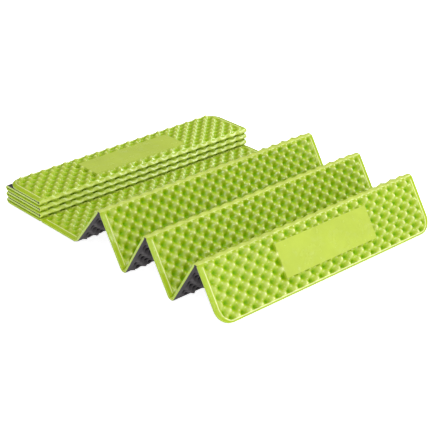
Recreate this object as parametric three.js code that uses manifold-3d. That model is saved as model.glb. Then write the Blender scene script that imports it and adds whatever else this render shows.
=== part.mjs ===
// Accordion-fold foam sleeping pad: fourteen equal panels in a row, joined by thirteen creases.
// Each panel is a light upper foam layer on a thin dark lower layer. At a crease both layers are
// pressed thin, and the pad bends there. Folds alternate: one has the upper layer outside, the
// next has it inside.
// Millimetres and degrees. X runs along the creases, -Y towards the spread end, +Z up, and the
// origin is on the floor in the middle of the area that the part-folded pad covers.
import * as THREE from "three";
import { mergeVertices } from "three/addons/utils/BufferGeometryUtils.js";
import Module from "manifold-3d";

// Pad
const PAD_LENGTH = 600;
const PANEL_COUNT = 14;
const PANEL_DEPTH = 123;
const LAYER_PITCH = 7.4; // between the mid-planes of two folded layers
const CORNER_RADIUS = 34; // outer corners of the first and last panels
const CORNER_SEGMENTS = 10;

// Foam layers, measured across a panel
const PANEL_THICKNESS = 6.8;
const BASE_THICKNESS = 2.1;
const LAYER_GAP = 0.3;
const TOP_THICKNESS = PANEL_THICKNESS - BASE_THICKNESS - LAYER_GAP;

// Creases. A fold turns about an axis on its inner side, half a layer pitch from each mid-plane.
const AXIS_DISTANCE = 2; // from a panel's edge to the fold axis, along the panel
const AXIS_OFFSET = LAYER_PITCH / 2;
const CREASE_THICKNESS = 3;
const CREASE_WIDTH = 2.3;
const CREASE_GAP = 0.3;

// Raised label plate on the two end panels
const LABEL_LENGTH = 256;
const LABEL_DEPTH = 72;
const LABEL_START = 18; // from the end panel's folded edge
const LABEL_HEIGHT = 3;
const LABEL_ROOT = 1; // how deep the plate is rooted in the layer below it
const FIRST_LABEL_SHIFT = 11;
const LAST_LABEL_SHIFT = -4;

// Rest pose: panels 8 to 14 folded up, panel 7 flat, panels 1 to 6 standing in a zigzag.
// A fold's turn is 0 when its two panels are level and 180 when they are closed.
const STACK_BOTTOM_PANEL = 8;
const LOWEST_PANEL_HEIGHT = 9; // mid-plane of the panels that lie flat, half the height of the bumps
const CLOSED_TURN = 180;
const LEVEL_TURN = 0;
const ZIGZAG_SLOPE = 57.8;
const BACK_SLOPE = 51; // slope of panel 6, which rises from the flat panel
const FIRST_STANDING_FOLD = 6; // the fold between panels 6 and 7

const TOP_COLOUR = 0xa9cd3e;
const BASE_COLOUR = 0x3d393b;
const CREASE_COLOUR = 0x9bc033;

const wasm = await Module();
wasm.setup();

function toManifold(geometry) {
  const plain = geometry.index ? geometry.toNonIndexed() : geometry.clone();
  plain.deleteAttribute("normal");
  plain.deleteAttribute("uv");
  const merged = mergeVertices(plain);
  return new wasm.Manifold(
    new wasm.Mesh({
      numProp: 3,
      vertProperties: new Float32Array(merged.attributes.position.array),
      triVerts: new Uint32Array(merged.index.array),
    }),
  );
}

function fromManifold(solid) {
  const { numProp, vertProperties, triVerts } = solid.getMesh();
  const geometry = new THREE.BufferGeometry();
  const positions = new THREE.InterleavedBuffer(vertProperties, numProp);
  geometry.setAttribute("position", new THREE.InterleavedBufferAttribute(positions, 3, 0));
  geometry.setIndex(new THREE.BufferAttribute(triVerts, 1));
  geometry.computeVertexNormals();
  return geometry;
}

function foam(colour) {
  return new THREE.MeshStandardMaterial({ color: colour, roughness: 0.55, metalness: 0 });
}

const topFoam = foam(TOP_COLOUR);
const baseFoam = foam(BASE_COLOUR);
const creaseFoam = foam(CREASE_COLOUR);

function twoDigits(number) {
  return String(number).padStart(2, "0");
}

// A panel's plan, X along the pad and Y away from the stack's bottom panel.
function panelOutline(isEndPanel) {
  const side = PAD_LENGTH / 2;
  const outline = new THREE.Shape();
  outline.moveTo(-side, 0);
  outline.lineTo(side, 0);
  if (isEndPanel) {
    const roundX = side - CORNER_RADIUS;
    const roundY = PANEL_DEPTH - CORNER_RADIUS;
    outline.lineTo(side, roundY);
    outline.absarc(roundX, roundY, CORNER_RADIUS, 0, Math.PI / 2);
    outline.lineTo(-roundX, PANEL_DEPTH);
    outline.absarc(-roundX, roundY, CORNER_RADIUS, Math.PI / 2, Math.PI);
  } else {
    outline.lineTo(side, PANEL_DEPTH);
    outline.lineTo(-side, PANEL_DEPTH);
  }
  outline.closePath();
  return outline;
}

function layerGeometry(isEndPanel, bottom, thickness) {
  const geometry = new THREE.ExtrudeGeometry(panelOutline(isEndPanel), {
    depth: thickness,
    bevelEnabled: false,
    curveSegments: CORNER_SEGMENTS,
  });
  return geometry.translate(0, 0, bottom);
}

function withLabelPlate(layer, shift) {
  const plate = new THREE.BoxGeometry(LABEL_LENGTH, LABEL_DEPTH, LABEL_HEIGHT + LABEL_ROOT);
  plate.translate(
    shift,
    LABEL_START + LABEL_DEPTH / 2,
    PANEL_THICKNESS / 2 + (LABEL_HEIGHT - LABEL_ROOT) / 2,
  );
  return fromManifold(toManifold(layer).add(toManifold(plate)));
}

function addMesh(group, name, geometry, material) {
  const mesh = new THREE.Mesh(geometry, material);
  mesh.name = name;
  group.add(mesh);
}

// One panel, in a group whose X axis is its inner edge and whose XY plane is its mid-plane.
function makePanel(number, labelShift) {
  const isEndPanel = number === 1 || number === PANEL_COUNT;
  const panel = new THREE.Group();
  const base = layerGeometry(isEndPanel, -PANEL_THICKNESS / 2, BASE_THICKNESS);
  const plainTop = layerGeometry(isEndPanel, PANEL_THICKNESS / 2 - TOP_THICKNESS, TOP_THICKNESS);
  const top = isEndPanel ? withLabelPlate(plainTop, labelShift) : plainTop;
  addMesh(panel, `panel_${twoDigits(number)}_top`, top, topFoam);
  addMesh(panel, `panel_${twoDigits(number)}_base`, base, baseFoam);
  return panel;
}

// Odd folds have the upper layer outside, so they turn downwards from level. Even ones turn upwards.
function foldDirection(fold) {
  return fold % 2 === 1 ? -1 : 1;
}

function restTurn(fold) {
  if (fold >= STACK_BOTTOM_PANEL) return CLOSED_TURN;
  if (fold === STACK_BOTTOM_PANEL - 1) return LEVEL_TURN;
  if (fold === FIRST_STANDING_FOLD) return BACK_SLOPE;
  if (fold === FIRST_STANDING_FOLD - 1) return BACK_SLOPE + ZIGZAG_SLOPE;
  return 2 * ZIGZAG_SLOPE;
}

// Joins the next panel to the edge of the inner one that lies `edge` out from the inner one's X axis.
// The crease strip is part of the inner panel.
function addFold(inner, edge, fold, panel) {
  const direction = foldDirection(fold);
  const strip = new THREE.BoxGeometry(PAD_LENGTH, CREASE_WIDTH, CREASE_THICKNESS);
  strip.translate(0, edge + CREASE_GAP + CREASE_WIDTH / 2, 0);
  addMesh(inner, `crease_${twoDigits(fold)}_${twoDigits(fold + 1)}`, strip, creaseFoam);

  const axis = new THREE.Group();
  axis.position.set(0, edge + AXIS_DISTANCE, direction * AXIS_OFFSET);
  axis.rotation.x = direction * THREE.MathUtils.degToRad(restTurn(fold));
  panel.position.set(0, AXIS_DISTANCE, -direction * AXIS_OFFSET);
  axis.add(panel);
  inner.add(axis);
  return panel;
}

// Moves the pad so that the middle of its footprint is the origin and its lowest point is on the floor.
function centreOnFloor(group) {
  const extent = new THREE.Box3().setFromObject(group, true);
  const middle = extent.getCenter(new THREE.Vector3());
  group.position.set(-middle.x, -middle.y, -extent.min.z);
}

const pad = new THREE.Group();

const bottomPanel = makePanel(STACK_BOTTOM_PANEL, 0);
bottomPanel.position.z = LOWEST_PANEL_HEIGHT;
pad.add(bottomPanel);

let outer = bottomPanel;
for (let number = STACK_BOTTOM_PANEL + 1; number <= PANEL_COUNT; number++) {
  outer = addFold(outer, PANEL_DEPTH, number - 1, makePanel(number, LAST_LABEL_SHIFT));
}

// The spread half runs the other way from the bottom panel's front edge.
const spreadHalf = new THREE.Group();
spreadHalf.rotation.z = Math.PI;
bottomPanel.add(spreadHalf);
outer = spreadHalf;
for (let number = STACK_BOTTOM_PANEL - 1; number >= 1; number--) {
  const edge = outer === spreadHalf ? 0 : PANEL_DEPTH;
  outer = addFold(outer, edge, number, makePanel(number, -FIRST_LABEL_SHIFT));
}

centreOnFloor(pad);

export default pad;
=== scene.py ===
import math

import bpy
import numpy as np
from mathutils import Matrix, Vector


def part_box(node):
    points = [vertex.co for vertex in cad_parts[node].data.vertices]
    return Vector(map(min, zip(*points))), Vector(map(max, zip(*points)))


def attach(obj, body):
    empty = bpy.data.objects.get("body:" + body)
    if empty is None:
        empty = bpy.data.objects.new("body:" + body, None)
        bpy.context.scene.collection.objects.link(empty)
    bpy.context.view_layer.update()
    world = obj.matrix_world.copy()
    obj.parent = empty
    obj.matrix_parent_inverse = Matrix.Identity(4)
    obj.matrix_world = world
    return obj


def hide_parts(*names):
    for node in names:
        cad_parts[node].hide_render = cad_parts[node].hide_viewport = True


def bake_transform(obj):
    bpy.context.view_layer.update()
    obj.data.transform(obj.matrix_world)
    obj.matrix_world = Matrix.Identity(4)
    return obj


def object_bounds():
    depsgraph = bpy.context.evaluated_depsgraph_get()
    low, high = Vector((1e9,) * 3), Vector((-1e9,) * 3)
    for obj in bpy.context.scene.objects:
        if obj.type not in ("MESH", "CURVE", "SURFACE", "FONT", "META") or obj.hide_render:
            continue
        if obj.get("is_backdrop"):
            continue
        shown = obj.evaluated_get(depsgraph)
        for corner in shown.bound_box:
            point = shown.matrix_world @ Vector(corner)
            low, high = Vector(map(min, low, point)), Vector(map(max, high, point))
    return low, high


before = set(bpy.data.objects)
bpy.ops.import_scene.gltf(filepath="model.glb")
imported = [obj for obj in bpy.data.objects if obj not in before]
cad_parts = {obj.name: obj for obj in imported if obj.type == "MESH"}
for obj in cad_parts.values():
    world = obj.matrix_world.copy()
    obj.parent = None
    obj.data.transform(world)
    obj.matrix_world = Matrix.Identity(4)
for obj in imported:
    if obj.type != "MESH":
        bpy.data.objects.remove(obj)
cad_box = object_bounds()

# Lengths of the pad are millimetres in a panel's own frame. x runs along a panel from its left end,
# s runs across it from the panel before to the panel after, and n is the distance from its
# mid-plane, positive on the light side. Tones run from -1, the deepest colour, to 1, the palest;
# they paint shade into hollows and creases, and highlights, glints and sheen onto raised and flat parts.
MM = 0.001
TINY = 1e-9  # keeps a division from being by zero
PANEL_COUNT = 14
SLAB_HALF = 3.4  # half the CAD panel's thickness

# Moulded relief: a checkerboard of bumps and pits, the same through both foam layers
BUMP_PITCH = 15.0
BUMP_HEIGHT = 6.2
BUMP_POINT = 1.2  # above 1, bumps and pits are more pointed than a sine wave
SADDLE_POINT = 8  # the higher, the smaller the painted glint on a saddle
# Heights of the light face, the layers' joint and the dark face, halfway between bump and pit
SKIN_TOP = 3.1
SKIN_JOIN = -1.1
SKIN_BOTTOM = -3.1
# The same on the rim
RIM_TOP = 2.7
RIM_JOIN = -2.9
RIM_BOTTOM = -3.5
THINNEST_LAYER = 0.4
THINNEST_SHEET = 1.0  # both layers together

# Smooth rim at the short ends and the free edges
CORNER_RADIUS = 34.0
END_RIM = 9.0  # the rim's raised line lies this far from a short end
FREE_RIM = 4.5  # and this far from a free edge
RIM_RAMP = 3.2
BUMP_START = 11.5  # distance from a short end where the bumps begin
BUMP_FULL = 17.5  # distance from a short end where they have their full height
RIM_LINE_HEIGHT = 0.95
RIM_LINE_WIDTH = 1.1
RIM_LINE_FADE = (4.0, 8.0)  # distances from a crease between which the raised line dies out
EDGE_ROUND = 1.2
EDGE_DROP = 0.9
BACK_EDGE_SHARE = 0.5  # how much of the drop the dark side's edge has

# Pressed creases
CREASE_TAPER = 2.5
WEB_CENTRE = 0.6  # a web's centre line lies this far towards its fold's outer side
# Heights of a web's light face, joint and dark face above its centre line
WEB_TOP = 1.6
WEB_JOIN = -0.6
WEB_RIM_JOIN = -1.1
WEB_BOTTOM = -1.6
WEB_SWELL = 1.3
WEB_REACH = 1.4  # length of the handles of an open crease's curve
WEB_STEPS = 12
CLOSED_COSINE = -0.9  # below this, the panels on both sides of a crease lie on each other
# A closed crease's centre line: reach past the panel's edge, share of the way to the other panel
NOSE = ((0.0, 0.0), (1.0, 0.105), (3.6, 0.5))
NOSE_LEAN = 0.66  # how far its second and fourth normals lean outwards
NOSE_TURN = 0.8  # half the width over which a closed crease turns from one panel to the other
NOSE_WAVE = 0.45  # how far the nose follows the relief, as a share of it

# Raised label plates: start across the panel, end across the panel, centre along the pad, length
PLATES = {1: (33.0, 105.0, 311.0, 256.0), 14: (18.0, 90.0, 296.0, 256.0)}
PLATE_TOP = 7.4
PLATE_JOIN = 4.4
PLATE_BOTTOM = 2.6
PLATE_STEP = 0.5

# Tones of the parts of the light face, all painted light: glints on saddles, sheen on the
# smooth margins, plates and open creases, highlights on the rim's raised line, the plates' edges
# and closed creases' noses, and shade at closed creases' edges
SADDLE_GLINT_TONE = 0.95
RIM_TONE = 0.3
RIM_LINE_TONE = 1.5
RIM_LINE_TONE_LIMIT = 0.93
PLATE_TONE = 0.62
PLATE_EDGE_TONE = 1.4
OPEN_CREASE_TONE = 0.8
NOSE_TONE = 0.7
NOSE_TONE_FALL = 1.3

# Grid lines of the meshes
GRID = 2.5
GRID_START = 12.5  # the even lines along a panel start here, past the rim's own lines
LINE_GAP = 0.8  # other lines keep this far from the ones that have to be there
END_LINES = (0.0, 0.5, 1.2, 4.5, 7.4, 8.3, 9.0, 9.7, 10.6, 11.5)
FOLD_LINES = (0.0, 0.75, 1.5, 2.75)
FREE_LINES = (0.0, 0.5, 1.2, 2.1, 2.9, 3.8, 4.5, 5.2, 6.1, 7.0)
SHARP_ANGLE = math.radians(58)


def smoothstep(low, high, value):
    t = np.clip((value - low) / (high - low), 0.0, 1.0)
    return t * t * (3.0 - 2.0 * t)


def mix(a, b, t):
    return a + (b - a) * t


def add_object(name, data):
    obj = bpy.data.objects.new(name, data)
    bpy.context.scene.collection.objects.link(obj)
    return obj


def node_points(node):
    """A CAD node's distinct points at rest, in metres."""
    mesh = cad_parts[node].data
    points = np.zeros(len(mesh.vertices) * 3)
    mesh.vertices.foreach_get("co", points)
    return np.unique(points.reshape(-1, 3).round(7), axis=0)


def box_centre(node):
    low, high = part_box(node)
    return np.array((low + high) / 2)


def crease_node(fold):
    return f"crease_{fold:02d}_{fold + 1:02d}"


def panel_frame(number):
    """Where a panel lies: its first edge, its size, and the directions of s and n."""
    base = f"panel_{number:02d}_base"
    points = node_points(base)
    centre = (points.min(0) + points.max(0)) / 2
    across = np.unique(points[:, 1:].round(6), axis=0)
    spread = np.linalg.svd(across - across.mean(0))[2]
    s_dir = np.array([0.0, *spread[0]])
    n_dir = np.array([0.0, *spread[1]])
    if number < PANEL_COUNT:
        ahead = box_centre(crease_node(number)) - centre
    else:
        ahead = centre - box_centre(crease_node(number - 1))
    if s_dir @ ahead < 0:
        s_dir = -s_dir
    if n_dir @ (box_centre(f"panel_{number:02d}_top") - centre) < 0:
        n_dir = -n_dir
    start = (points @ s_dir).min()
    level = (points @ n_dir).min() + SLAB_HALF * MM
    return {
        "x0": points[:, 0].min(),
        "length": (points[:, 0].max() - points[:, 0].min()) / MM,
        "depth": ((points @ s_dir).max() - start) / MM,
        "origin": s_dir * start + n_dir * level,
        "s": s_dir,
        "n": n_dir,
    }


def place(where, x, s, n):
    """World points, in metres, of local coordinates in a panel's frame."""
    points = where["origin"] + MM * (s[..., None] * where["s"] + n[..., None] * where["n"])
    points[..., 0] += where["x0"] + x * MM
    return points


def even_lines(first, last):
    """Lines from first to last, about GRID apart."""
    count = max(1, round((last - first) / GRID))
    return list(np.linspace(first, last, count + 1))


def x_lines(length, extra=()):
    """Lines along a panel, with finer ones at its rim."""
    middle = even_lines(GRID_START, length - GRID_START)
    lines = [*END_LINES, *middle, *(length - v for v in END_LINES), *extra]
    return tidy_lines(lines, extra)


def s_lines(depth, free_start, free_end, extra=()):
    """Lines across a panel, on the bumps' own grid, with finer ones at its edges."""
    half = depth / 2
    inner = GRID * math.floor(half / GRID)
    lines = [half + v for v in even_lines(-inner, inner)]
    start = FREE_LINES if free_start else FOLD_LINES
    end = FREE_LINES if free_end else FOLD_LINES
    lines = [v for v in lines if start[-1] + LINE_GAP < v < depth - end[-1] - LINE_GAP]
    return tidy_lines([*start, *lines, *(depth - v for v in end), *extra], extra)


def tidy_lines(lines, kept):
    """Sorted lines, without the ones that lie too close to a kept one."""
    kept = list(kept)
    clear = [v for v in lines if all(v in kept or abs(v - k) > LINE_GAP for k in kept)]
    return np.unique(np.round(clear, 4))


def plate_lines(start, end):
    """Lines before, on and after a label plate's two edges."""
    return [v + d for v in (start, end) for d in (-PLATE_STEP, 0.0, PLATE_STEP)]


def round_corners(x, s, length, depth, free_start):
    """Bends a square grid's corners at the free edge into arcs, ring by ring."""
    end_distance = np.minimum(x, length - x)
    edge_distance = s if free_start else depth - s
    a = CORNER_RADIUS - end_distance
    b = CORNER_RADIUS - edge_distance
    inside = (a > 0) & (b > 0)
    scale = np.where(inside, np.maximum(a, b) / np.maximum(np.hypot(a, b), TINY), 1.0)
    new_end = np.where(inside, CORNER_RADIUS - a * scale, end_distance)
    new_edge = np.where(inside, CORNER_RADIUS - b * scale, edge_distance)
    x = np.where(x < length / 2, new_end, length - new_end)
    s = new_edge if free_start else depth - new_edge
    return x, s


def rim_distances(x, s, length, depth, free_start, free_end):
    """Distances inwards from the rim's raised line, and from the outline."""
    end_distance = np.minimum(x, length - x)
    if not (free_start or free_end):
        return end_distance - END_RIM, end_distance
    edge_distance = s if free_start else depth - s
    a = np.maximum(0.0, CORNER_RADIUS - end_distance)
    b = np.maximum(0.0, CORNER_RADIUS - edge_distance)
    end_reach = CORNER_RADIUS - END_RIM
    free_reach = CORNER_RADIUS - FREE_RIM
    share = np.hypot(a / end_reach, b / free_reach)
    weighted = (a * end_reach + b * free_reach) / np.maximum(a + b, TINY)
    reach = np.where(a + b > 0, weighted, end_reach)
    return (1.0 - share) * reach, CORNER_RADIUS - np.hypot(a, b)


def fold_side(fold):
    """1 where the light layer is outside a fold, -1 where it is inside."""
    return 1 if fold % 2 else -1


def bump_wave(x, c):
    """The relief from -1 to 1, c being the distance from the panel's middle."""
    wave = -np.cos(np.pi * x / BUMP_PITCH) * np.sin(np.pi * c / BUMP_PITCH)
    return np.sign(wave) * np.abs(wave) ** BUMP_POINT


def painted_saddle_glints(x, c):
    """Painted glints: 1 on the flat saddles between bumps and 0 a little way off them."""
    return (np.sin(np.pi * x / BUMP_PITCH) * np.cos(np.pi * c / BUMP_PITCH)) ** SADDLE_POINT


def relief_window(number, x, s, length, depth, dark=False):
    """0 on the smooth margins, 1 where the bumps have their full height."""
    # A dark face that lies against an end panel has smooth margins like that panel's.
    free_start = number == 1 or dark and number == PANEL_COUNT - 1
    free_end = number == PANEL_COUNT or dark and number == 2
    rim, _ = rim_distances(x, s, length, depth, free_start, free_end)
    from_ends = smoothstep(BUMP_START, BUMP_FULL, np.minimum(x, length - x))
    return smoothstep(0.0, RIM_RAMP, rim) * from_ends


def layered(top, join, bottom):
    """The same heights, but with each layer at least a thin sheet."""
    bottom = np.minimum(bottom, top - THINNEST_SHEET)
    return top, np.clip(join, bottom + THINNEST_LAYER, top - THINNEST_LAYER), bottom


def plate_mask(number, x, s):
    """1 on a panel's label plate, 0 off it."""
    if number not in PLATES:
        return np.zeros_like(x)
    first, last, centre, plate_length = PLATES[number]
    from_left = x - centre + plate_length / 2
    from_right = centre + plate_length / 2 - x
    mask = np.ones_like(x)
    for inward in (s - first, last - s, from_left, from_right):
        mask = mask * smoothstep(-PLATE_STEP, PLATE_STEP, inward)
    return mask


def panel_surfaces(number, x, s, length, depth):
    """Heights of the light face, the layers' joint and the dark face, then both faces' tones."""
    free_start = number == 1
    free_end = number == PANEL_COUNT
    rim, outline = rim_distances(x, s, length, depth, free_start, free_end)
    inner = smoothstep(0.0, RIM_RAMP, rim)
    window = relief_window(number, x, s, length, depth)
    c = s - depth / 2
    wave = bump_wave(x, c) * window
    back = bump_wave(x, c) * relief_window(number, x, s, length, depth, dark=True)
    fold_edges = []
    if not free_start:
        fold_edges.append((s, fold_side(number - 1)))
    if not free_end:
        fold_edges.append((depth - s, fold_side(number)))

    ridge = np.exp(-((rim / RIM_LINE_WIDTH) ** 2))
    for distance, _ in fold_edges:
        ridge = ridge * smoothstep(*RIM_LINE_FADE, distance)
    drop = EDGE_DROP * (1.0 - smoothstep(0.0, EDGE_ROUND, outline))
    top = BUMP_HEIGHT * wave + mix(RIM_TOP, SKIN_TOP, inner) + RIM_LINE_HEIGHT * ridge
    join = BUMP_HEIGHT * wave + mix(RIM_JOIN, SKIN_JOIN, inner)
    bottom = BUMP_HEIGHT * back + mix(RIM_BOTTOM, SKIN_BOTTOM, inner)
    # Tone: the relief paints shade into the pits and highlights onto the tips, and the saddles get
    # painted glints.
    tone = wave + SADDLE_GLINT_TONE * window * painted_saddle_glints(x, c)
    # Painted highlight on the rim's raised line, and painted sheen on the smooth margin inside it.
    tone += np.minimum(RIM_LINE_TONE_LIMIT, RIM_LINE_TONE * ridge) + RIM_TONE * (inner - window)

    plate = plate_mask(number, x, s)
    top = mix(top, PLATE_TOP, plate)
    join = mix(join, PLATE_JOIN, plate)
    bottom = mix(bottom, PLATE_BOTTOM, plate)
    wave = mix(wave, 0.0, plate)
    back = mix(back, 0.0, plate)
    # The plate gets a painted sheen and its edges a painted highlight.
    tone = mix(tone, PLATE_TONE, plate) + PLATE_EDGE_TONE * plate * (1.0 - plate)

    for distance, side in fold_edges:
        pressed = 1.0 - smoothstep(0.0, CREASE_TAPER, distance)
        level = BUMP_HEIGHT * wave + side * WEB_CENTRE
        top = mix(top, level + WEB_TOP, pressed)
        join = mix(join, level + mix(WEB_RIM_JOIN, WEB_JOIN, inner), pressed)
        back_level = BUMP_HEIGHT * back + side * WEB_CENTRE
        bottom = mix(bottom, back_level + WEB_BOTTOM, pressed)
    heights = layered(top - drop, join, bottom + drop * BACK_EDGE_SHARE)
    # The dark face's tone follows its relief, so that its pits get painted shade.
    return *heights, tone, -back


def grid_faces(rows, columns, start, flip):
    """A grid's quads, with its points numbered from start."""
    r, c = np.meshgrid(np.arange(rows - 1), np.arange(columns - 1), indexing="ij")
    first = (start + r * columns + c).ravel()
    quads = np.stack([first, first + 1, first + columns + 1, first + columns], axis=1)
    return quads[:, ::-1] if flip else quads


def grid_border(rows, columns):
    """The grid's border points in order, once round."""
    top = list(range(columns))
    right = [r * columns + columns - 1 for r in range(1, rows)]
    bottom = [(rows - 1) * columns + c for c in range(columns - 2, -1, -1)]
    left = [r * columns for r in range(rows - 2, 0, -1)]
    return np.array(top + right + bottom + left)


def shell(name, upper, lower, upper_tone, lower_tone, material):
    """A closed mesh between two grids of world points, with a tone at each point."""
    rows, columns = upper.shape[:2]
    count = rows * columns
    border = grid_border(rows, columns)
    after = np.roll(border, -1)
    walls = np.stack([border, border + count, after + count, after], axis=1)
    lids = [grid_faces(rows, columns, 0, False), grid_faces(rows, columns, count, True)]
    faces = np.concatenate([*lids, walls])
    points = np.concatenate([upper.reshape(-1, 3), lower.reshape(-1, 3)])
    # The volume's sign says whether the faces look outwards.
    a, b, c, d = (points[faces[:, i]] for i in range(4))
    volume = (a * np.cross(b, c)).sum() + (a * np.cross(c, d)).sum()
    if volume < 0:
        faces = faces[:, ::-1]

    mesh = bpy.data.meshes.new(name)
    mesh.vertices.add(len(points))
    mesh.vertices.foreach_set("co", points.astype(np.float32).ravel())
    mesh.loops.add(faces.size)
    mesh.loops.foreach_set("vertex_index", faces.astype(np.int32).ravel())
    mesh.polygons.add(len(faces))
    mesh.polygons.foreach_set("loop_start", np.arange(0, faces.size, 4, dtype=np.int32))
    mesh.polygons.foreach_set("use_smooth", np.ones(len(faces), dtype=bool))
    mesh.update(calc_edges=True)
    mesh.validate()
    mesh.set_sharp_from_angle(angle=SHARP_ANGLE)
    tones = np.concatenate([upper_tone.ravel(), lower_tone.ravel()])
    tone = mesh.attributes.new("tone", "FLOAT", "POINT")
    tone.data.foreach_set("value", tones.astype(np.float32))
    mesh.materials.append(material)
    return add_object(name, mesh)


def build_panel(number, where, top_material, base_material):
    """A panel's two layers, which meet at the layers' joint."""
    length, depth = where["length"], where["depth"]
    free_start = number == 1
    free_end = number == PANEL_COUNT
    extra_x, extra_s = (), ()
    if number in PLATES:
        first, last, centre, plate_length = PLATES[number]
        extra_s = plate_lines(first, last)
        extra_x = plate_lines(centre - plate_length / 2, centre + plate_length / 2)
    x, s = np.meshgrid(
        x_lines(length, extra_x),
        s_lines(depth, free_start, free_end, extra_s),
        indexing="ij",
    )
    if free_start or free_end:
        x, s = round_corners(x, s, length, depth, free_start)
    top, join, bottom, light_tone, dark_tone = panel_surfaces(number, x, s, length, depth)
    upper, middle, lower = (place(where, x, s, n) for n in (top, join, bottom))
    plain = np.zeros_like(x)
    top_piece = shell(f"foam_top_{number:02d}", upper, middle, light_tone, plain, top_material)
    base_piece = shell(f"foam_base_{number:02d}", middle, lower, plain, dark_tone, base_material)
    body = f"panel_{number:02d}"
    for piece, node, slot in (
        (top_piece, f"{body}_top", "top_foam"),
        (base_piece, f"{body}_base", "base_foam"),
    ):
        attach(piece, body)
        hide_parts(node)


def is_closed(before, after):
    """Whether two panels lie folded on each other at rest."""
    return before["s"] @ after["s"] < CLOSED_COSINE


def nose_curve(before, after, start, end, side):
    """Centre line and normals of a closed crease's web: a short nose past the panels' edges."""
    steps = [*NOSE, *((reach, 1.0 - share) for reach, share in NOSE[-2::-1])]
    centre = [mix(start, end, share) + MM * reach * before["s"] for reach, share in steps]
    # The normal turns from the one panel's, by way of the fold's outer side, to the other's.
    outward = side * before["s"]
    leaning = [where["n"] + NOSE_LEAN * outward for where in (before, after)]
    normal = np.array([before["n"], leaning[0], outward, leaning[1], after["n"]])
    return np.array(centre), normal / np.linalg.norm(normal, axis=1)[:, None]


def web_curve(before, after, side):
    """Centre line and normals of a fold's web, from one panel's edge to the other's, in metres."""
    start = before["origin"] + MM * (before["depth"] * before["s"] + side * WEB_CENTRE * before["n"])
    end = after["origin"] + MM * side * WEB_CENTRE * after["n"]
    if is_closed(before, after):
        return nose_curve(before, after, start, end, side)
    # An open crease's web is a Bezier curve that leaves each panel along its own direction.
    reach = WEB_REACH * MM
    controls = [start, start + before["s"] * reach, end - after["s"] * reach, end]
    t = np.linspace(0.0, 1.0, WEB_STEPS + 1)[:, None]
    weights = [(1 - t) ** 3, 3 * t * (1 - t) ** 2, 3 * t**2 * (1 - t), t**3]
    centre = sum(w * p for w, p in zip(weights, controls))
    slopes = [3 * (1 - t) ** 2, 6 * t * (1 - t), 3 * t**2]
    tangent = sum(w * (q - p) for w, p, q in zip(slopes, controls, controls[1:]))
    tangent /= np.linalg.norm(tangent, axis=1)[:, None]
    turn = before["n"][2] * before["s"][1] - before["n"][1] * before["s"][2]
    normal = np.stack([np.zeros(len(t)), -tangent[:, 2] * turn, tangent[:, 1] * turn], axis=1)
    return centre, normal


def build_web(fold, before, after, top_material, base_material):
    """The pressed crease between two panels, a strip of each layer."""
    side = fold_side(fold)
    closed = is_closed(before, after)
    centre, normal = web_curve(before, after, side)
    length = before["length"]
    x = x_lines(length)
    t = np.linspace(-1.0, 1.0, len(centre))
    end_distance = np.minimum(x, length - x)
    drop = EDGE_DROP * (1.0 - smoothstep(0.0, EDGE_ROUND, end_distance))
    inner = smoothstep(0.0, RIM_RAMP, end_distance - END_RIM)
    row = BUMP_HEIGHT * bump_wave(x, before["depth"] / 2)

    def windows(dark):
        last = relief_window(fold, x, before["depth"], length, before["depth"], dark)
        following = relief_window(fold + 1, x, 0.0, length, after["depth"], dark)
        return last[:, None], following[:, None]

    def carried(dark):
        """The relief runs on over the crease, from the one panel's last row to the other one's first."""
        last, following = windows(dark)
        return -row[:, None] * t * np.where(t < 0, last, following)

    nose = np.zeros((len(x), len(t)))
    swell = np.zeros_like(t)
    if closed:
        last, following = windows(False)
        nose = -side * NOSE_WAVE * before["n"][2] * row[:, None] * last * following * (1.0 - np.abs(t))
    elif side > 0:
        # A crease with the light layer outside is thicker on its dark side, where foam is squeezed.
        swell = -WEB_SWELL * np.cos(t * np.pi / 2)

    def surface(offset):
        points = centre[None] + MM * offset[..., None] * normal[None]
        points[..., 0] = before["x0"] + MM * x[:, None]
        return points

    light = carried(False) + nose
    heights = layered(
        light + WEB_TOP - drop[:, None],
        light + mix(WEB_RIM_JOIN, WEB_JOIN, inner)[:, None],
        carried(True) + nose + swell + WEB_BOTTOM + drop[:, None] * BACK_EDGE_SHARE,
    )
    top, join, bottom = (surface(height) for height in heights)
    plain = np.zeros(top.shape[:2])
    # A closed crease gets painted shade at its edges and a painted highlight on its nose; an open crease
    # gets a pale painted sheen all over.
    tone = plain + (NOSE_TONE - NOSE_TONE_FALL * t**2 if closed else OPEN_CREASE_TONE)
    name = f"{fold:02d}_{fold + 1:02d}"
    top_piece = shell(f"fold_top_{name}", top, join, tone, plain, top_material)
    base_piece = shell(f"fold_base_{name}", join, bottom, plain, plain, base_material)
    # A point at the second panel's edge, offset along its normal: on a closed crease to NOSE_TURN from
    # the middle between the panels, and on an open one to the web's inner face.
    half_gap = np.linalg.norm(centre[0] - centre[-1]) / MM / 2
    level = NOSE_TURN - half_gap + WEB_CENTRE if closed else WEB_CENTRE - WEB_TOP
    inside = side * level * MM
    last = after["origin"] + inside * after["n"]
    for piece in (top_piece, base_piece):
        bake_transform(piece)
    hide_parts(crease_node(fold))


# Noises of the materials: scale, detail, roughness
CLOUD_NOISE = (14.0, 3.0, 0.5)
CELL_NOISE = (900.0, 2.0, 0.6)
RUB_NOISE = (60.0, 4.0, 0.65)
SHEEN_NOISE = (45.0, 3.0, 0.5)
RIPPLE_NOISE = (130.0, 2.0, 0.5)
FLOOR_NOISE = (1.5, 2.0, 0.5)
NOISE_RANGE = (0.3, 0.7)  # where nearly all of a noise's values lie
CELL_CONTRAST = (0.965, 1.035)
CELL_DEPTH = 0.0004  # metres
RUB_RANGE = (0.52, 0.7)
RUB_AND_HIGHLIGHT_TONES = (0.45, 0.95)  # rubbing and its painted highlight start at the first tone and are full at the second
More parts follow.
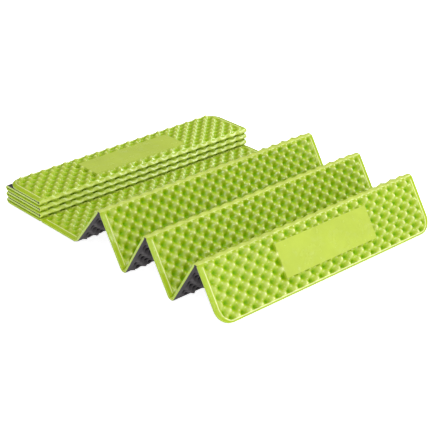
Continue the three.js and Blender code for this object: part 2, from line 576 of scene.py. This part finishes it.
# Pale colour blended into rubbed places: a painted highlight
RUBBED_HIGHLIGHT_COLOUR = (0.78, 0.82, 0.6, 1.0)
RUBBED_ROUGHNESS = 0.3
ROUGHNESS_SPREAD = (-0.05, 0.06)
SHINE_TONES = (-0.5, 0.2)  # pits, below the first tone, hardly shine
PIT_SHINE = 0.2
RIPPLE_STRENGTH = 0.25
RIPPLE_DEPTH = 0.0006  # metres
FLOOR_CONTRAST = (0.99, 1.0)
BLEND_FACTOR, BLEND_A, BLEND_B, BLEND_RESULT = 0, 6, 7, 2  # sockets of a colour mix node


class NodeTree:
    """Adds nodes to a material and wires them by name."""

    def __init__(self, name):
        self.material = bpy.data.materials.new(name)
        self.material.use_nodes = True
        self.nodes = self.material.node_tree.nodes
        self.links = self.material.node_tree.links
        self.shader = self.nodes["Principled BSDF"]

    def add(self, kind, inputs=(), **settings):
        node = self.nodes.new(kind)
        for key, value in settings.items():
            setattr(node, key, value)
        for key, value in dict(inputs).items():
            self.set(node, key, value)
        return node

    def set(self, node, key, value):
        socket = node.inputs[key]
        if isinstance(value, bpy.types.NodeSocket):
            self.links.new(value, socket)
        else:
            socket.default_value = value

    def noise(self, scale, detail, roughness):
        place_of = self.add("ShaderNodeTexCoord").outputs["Object"]
        inputs = {"Vector": place_of, "Scale": scale, "Detail": detail, "Roughness": roughness}
        return self.add("ShaderNodeTexNoise", inputs).outputs["Fac"]

    def ramp(self, factor, stops):
        node = self.add("ShaderNodeValToRGB", {"Fac": factor})
        elements = node.color_ramp.elements
        while len(elements) < len(stops):
            elements.new(0.5)
        for element, (position, colour) in zip(elements, stops):
            element.position = position
            element.color = (*colour, 1.0)
        return node.outputs["Color"]

    def rescale(self, value, low, high, new_low, new_high):
        inputs = {
            "Value": value,
            "From Min": low,
            "From Max": high,
            "To Min": new_low,
            "To Max": new_high,
        }
        return self.add("ShaderNodeMapRange", inputs).outputs["Result"]

    def blend_colour(self, factor, a, b, mode="MIX"):
        node = self.add("ShaderNodeMix", data_type="RGBA", blend_type=mode)
        self.set(node, BLEND_FACTOR, factor)
        self.set(node, BLEND_A, a)
        self.set(node, BLEND_B, b)
        return node.outputs[BLEND_RESULT]

    def dimmed(self, colour, value):
        """A colour times a grey value."""
        channels = {"Red": value, "Green": value, "Blue": value}
        shade = self.add("ShaderNodeCombineColor", channels).outputs["Color"]
        return self.blend_colour(1.0, colour, shade, "MULTIPLY")

    def multiply(self, a, b):
        return self.add("ShaderNodeMath", {0: a, 1: b}, operation="MULTIPLY").outputs[0]

    def multiply_add(self, a, b, c):
        return self.add("ShaderNodeMath", {0: a, 1: b, 2: c}, operation="MULTIPLY_ADD").outputs[0]


def foam_material(name, stops, roughness, grain, cloud, rub_and_highlight, specular):
    """Closed-cell foam: colour follows the tone, which paints shade and highlights, with soft clouding,
    fine cells and rubbed tips that are rougher and carry a painted highlight.
    """
    tree = NodeTree(name)
    tone = tree.add("ShaderNodeAttribute", attribute_name="tone").outputs["Fac"]
    colour = tree.ramp(tree.rescale(tone, -1.0, 1.0, 0.0, 1.0), stops)
    clouding = tree.rescale(tree.noise(*CLOUD_NOISE), *NOISE_RANGE, 1.0 - cloud, 1.0 + cloud)
    colour = tree.dimmed(colour, clouding)
    cells = tree.noise(*CELL_NOISE)
    colour = tree.dimmed(colour, tree.rescale(cells, *NOISE_RANGE, *CELL_CONTRAST))
    # Rubbed places on the palest parts are a little duller, and a pale painted highlight colour is
    # blended in there.
    rub_and_highlight_patches = tree.rescale(tree.noise(*RUB_NOISE), *RUB_RANGE, 0.0, rub_and_highlight)
    wear_and_highlight = tree.multiply(rub_and_highlight_patches, tree.rescale(tone, *RUB_AND_HIGHLIGHT_TONES, 0.0, 1.0))
    tree.set(tree.shader, "Base Color", tree.blend_colour(wear_and_highlight, colour, RUBBED_HIGHLIGHT_COLOUR))
    smoothest, roughest = (roughness + change for change in ROUGHNESS_SPREAD)
    rough = tree.rescale(tree.noise(*SHEEN_NOISE), *NOISE_RANGE, smoothest, roughest)
    rough = tree.multiply_add(wear_and_highlight, RUBBED_ROUGHNESS, rough)
    tree.set(tree.shader, "Roughness", rough)
    shine = tree.rescale(tone, *SHINE_TONES, PIT_SHINE * specular, specular)
    tree.set(tree.shader, "Specular IOR Level", shine)
    fine = {"Height": cells, "Strength": grain, "Distance": CELL_DEPTH}
    ripple = {
        "Height": tree.noise(*RIPPLE_NOISE),
        "Strength": RIPPLE_STRENGTH,
        "Distance": RIPPLE_DEPTH,
        "Normal": tree.add("ShaderNodeBump", fine).outputs["Normal"],
    }
    tree.set(tree.shader, "Normal", tree.add("ShaderNodeBump", ripple).outputs["Normal"])
    return tree.material


# Lime ramp: the deep green low end is painted shade in the pits, the near-white high end painted
# highlight on tips, saddles and raised lines.
lime = foam_material(
    "lime foam",
    [
        (0.0, (0.15, 0.38, 0.0005)),
        (0.22, (0.27, 0.46, 0.002)),
        (0.5, (0.36, 0.50, 0.010)),
        (0.8, (0.45, 0.56, 0.060)),
        (0.92, (0.58, 0.66, 0.150)),
        (1.0, (0.86, 0.90, 0.460)),
    ],
    roughness=0.24,
    grain=0.06,
    cloud=0.05,
    rub_and_highlight=0.15,
    specular=0.8,
)
# Crease ramp: the deep green low end is painted shade at closed creases' edges, the pale high end
# painted highlight and sheen on noses and open creases.
lime_pressed = foam_material(
    "pressed lime foam",
    [
        (0.0, (0.26, 0.46, 0.003)),
        (0.5, (0.42, 0.55, 0.030)),
        (1.0, (0.53, 0.62, 0.100)),
    ],
    roughness=0.3,
    grain=0.15,
    cloud=0.07,
    rub_and_highlight=0.0,
    specular=0.75,
)
# Grey ramp: the near-black low end is painted shade in the underside's pits.
grey = foam_material(
    "grey foam",
    [
        (0.0, (0.003, 0.002, 0.003)),
        (0.25, (0.006, 0.005, 0.006)),
        (0.42, (0.070, 0.064, 0.067)),
        (1.0, (0.100, 0.092, 0.096)),
    ],
    roughness=0.6,
    grain=0.3,
    cloud=0.08,
    rub_and_highlight=0.06,
    specular=0.25,
)

frames = {number: panel_frame(number) for number in range(1, PANEL_COUNT + 1)}
for number, where in frames.items():
    build_panel(number, where, lime, grey)
for fold in range(1, PANEL_COUNT):
    build_web(fold, frames[fold], frames[fold + 1], lime_pressed, grey)


# Stage: a plain pale floor, a white surround, soft studio lights and a camera, in metres
WHITE = (1.0, 1.0, 1.0, 1.0)
FLOOR_SIZE = 60.0
FLOOR_DROP = 0.0002  # the floor lies this far below the CAD box
FLOOR_COLOUR = (0.97, 0.97, 0.97, 1.0)
FLOOR_ROUGHNESS = 0.9
# As on a lit studio sweep, the floor glows a little. The camera sees a stronger glow than the one
# that lights the pad, so that shadows on the floor are faint.
FLOOR_GLOW = 0.5
FLOOR_GLOW_SEEN = 0.85
# The surround lights the scene evenly, but is dim in reflections, as a studio's dark walls are.
SURROUND_LIGHT = 0.66
SURROUND_REFLECTED = 0.12
# Soft lights: name, direction from the pad's middle, distance, size and power
LIGHTS = (
    ("wide right softbox", (0.74, -0.12, 0.66), 2.6, 0.9, 17.0),
    ("wide front softbox", (0.3, -0.85, 0.43), 3.0, 1.2, 2.0),
    ("wide back softbox", (0.35, 0.55, 0.76), 3.0, 1.6, 6.0),
    ("right key", (0.593, -0.397, 0.699), 2.4, 0.14, 10.0),
    ("front key", (0.007, -0.86, 0.513), 2.6, 0.14, 6.0),
    ("overhead key", (-0.25, -0.3, 0.92), 2.4, 0.14, 8.0),
    ("left key", (-0.72, -0.60, 0.37), 2.5, 0.14, 6.0),
)
# Camera at the object's three-quarter view
CAMERA_AZIMUTH = math.radians(-41.79)
CAMERA_ELEVATION = math.radians(26.69)
CAMERA_DISTANCE = 2.7615
CAMERA_TARGET = np.array([-0.0266, -0.0439, 0.0200])
CAMERA_LENS = 106.4  # millimetres
CAMERA_SENSOR = 36.0  # millimetres
CAMERA_NEAREST = 0.05
CAMERA_FARTHEST = 200.0


def aim(obj, target):
    """Turns a lamp or a camera to look at a point."""
    direction = np.array(target) - np.array(obj.location)
    x, y, z = direction / float(np.linalg.norm(direction))
    obj.rotation_euler = (math.acos(-z), 0.0, math.atan2(-x, y))


def set_by_ray(tree, kind, socket, value, other):
    """Gives a socket one value for one kind of ray and another value for all other rays."""
    light_path = tree.nodes.new("ShaderNodeLightPath")
    choice = tree.nodes.new("ShaderNodeMapRange")
    choice.inputs["To Min"].default_value = other
    choice.inputs["To Max"].default_value = value
    tree.links.new(light_path.outputs[kind], choice.inputs["Value"])
    tree.links.new(choice.outputs["Result"], socket)


def build_floor():
    tree = NodeTree("pale floor")
    cloud = tree.rescale(tree.noise(*FLOOR_NOISE), *NOISE_RANGE, *FLOOR_CONTRAST)
    tree.set(tree.shader, "Base Color", tree.dimmed(FLOOR_COLOUR, cloud))
    tree.set(tree.shader, "Roughness", FLOOR_ROUGHNESS)
    tree.set(tree.shader, "Emission Color", WHITE)
    glow = tree.shader.inputs["Emission Strength"]
    set_by_ray(tree.material.node_tree, "Is Camera Ray", glow, FLOOR_GLOW_SEEN, FLOOR_GLOW)
    half = FLOOR_SIZE / 2
    corners = [(-half, -half, 0), (half, -half, 0), (half, half, 0), (-half, half, 0)]
    mesh = bpy.data.meshes.new("floor")
    mesh.from_pydata(corners, [], [(0, 1, 2, 3)])
    mesh.materials.append(tree.material)
    floor = add_object("floor", mesh)
    floor.location.z = cad_box[0].z - FLOOR_DROP
    floor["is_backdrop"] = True


def build_surround():
    world = bpy.data.worlds.new("surround")
    world.use_nodes = True
    background = world.node_tree.nodes["Background"]
    background.inputs["Color"].default_value = WHITE
    strength = background.inputs["Strength"]
    set_by_ray(world.node_tree, "Is Glossy Ray", strength, SURROUND_REFLECTED, SURROUND_LIGHT)
    bpy.context.scene.world = world
    bpy.context.scene.view_settings.view_transform = "Standard"


def build_lights():
    low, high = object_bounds()
    middle = np.array((low + high) / 2)
    for name, direction, distance, size, power in LIGHTS:
        lamp = bpy.data.lights.new(name, "AREA")
        lamp.shape = "DISK"
        lamp.size = size
        lamp.energy = power
        light = add_object(name, lamp)
        light.location = middle + distance * np.array(direction)
        aim(light, middle)


def build_camera():
    optics = bpy.data.cameras.new("camera")
    optics.lens = CAMERA_LENS
    optics.sensor_width = CAMERA_SENSOR
    optics.clip_start = CAMERA_NEAREST
    optics.clip_end = CAMERA_FARTHEST
    camera = add_object("camera", optics)
    level = math.cos(CAMERA_ELEVATION)
    right = math.sin(CAMERA_AZIMUTH) * level
    back = math.cos(CAMERA_AZIMUTH) * level
    up = math.sin(CAMERA_ELEVATION)
    camera.location = CAMERA_TARGET + CAMERA_DISTANCE * np.array([right, -back, up])
    aim(camera, CAMERA_TARGET)
    bpy.context.scene.camera = camera


build_floor()
build_surround()
build_lights()
build_camera()
